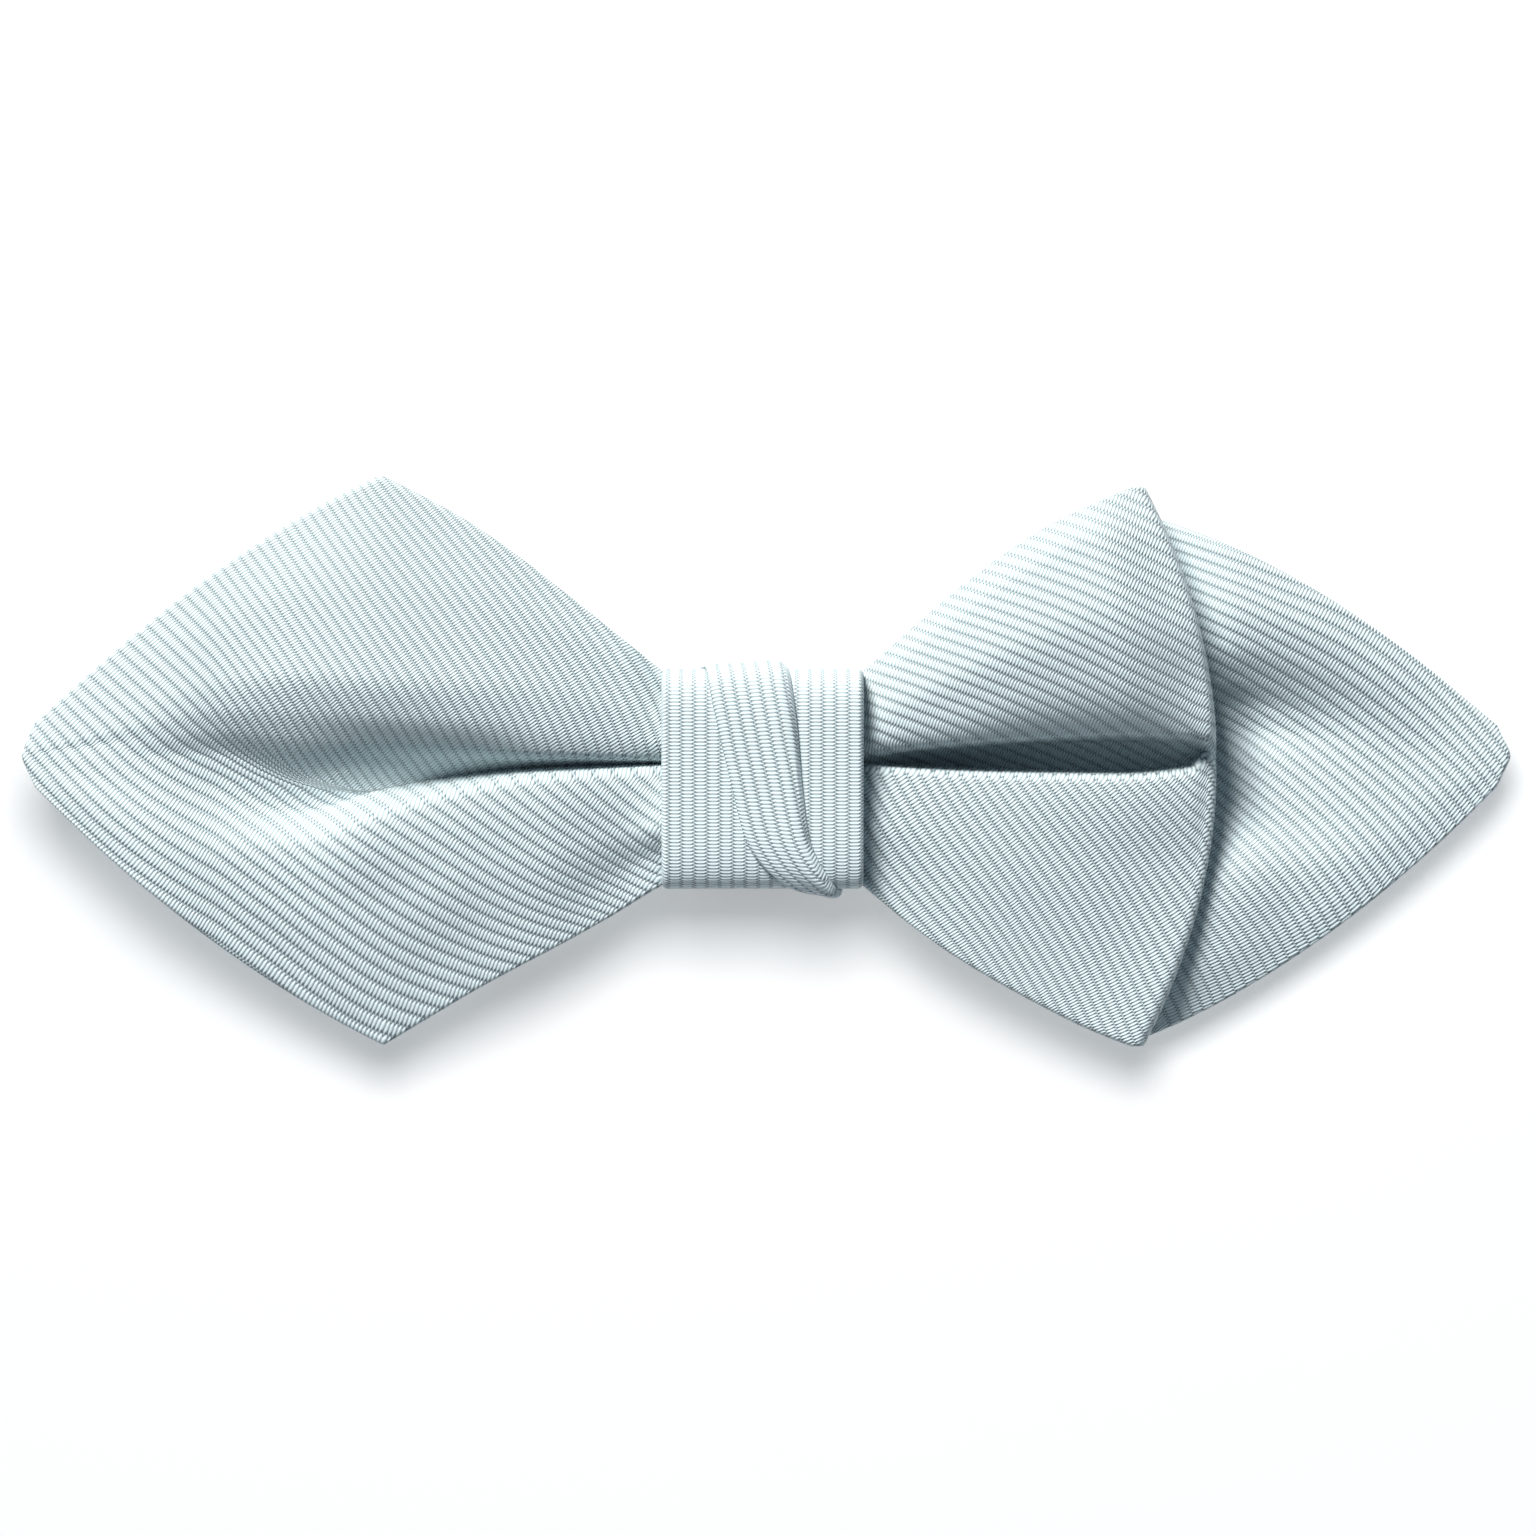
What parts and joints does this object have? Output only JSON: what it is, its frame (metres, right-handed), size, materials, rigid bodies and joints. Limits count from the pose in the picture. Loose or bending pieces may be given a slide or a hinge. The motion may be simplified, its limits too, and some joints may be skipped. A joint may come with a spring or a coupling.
{
  "type": "diamond point bow tie",
  "caption": "Pre-tied bow tie of ribbed cloth with diamond-pointed blades, a folded loop in front on one side, a gathered knot band and a plain clip behind.",
  "frame": {"origin": "middle of the tie's box on the surface it lies on", "axes": "+X along the tie from the left blade's tip to the right one's, +Y up the wearer's front, +Z out of the front of the knot"},
  "size_m": [0.1202, 0.0452, 0.0206],
  "materials": {
    "ribbed_cloth": "pale ice-blue ribbed weave with a soft satin sheen",
    "clip_metal": "plain satin steel sheet"
  },
  "bodies": {
    "root": {"bow_strip": "ribbed_cloth", "knot_band": "ribbed_cloth", "knot_pleat": "ribbed_cloth", "collar_clip": "clip_metal"}
  },
  "joints": []
}
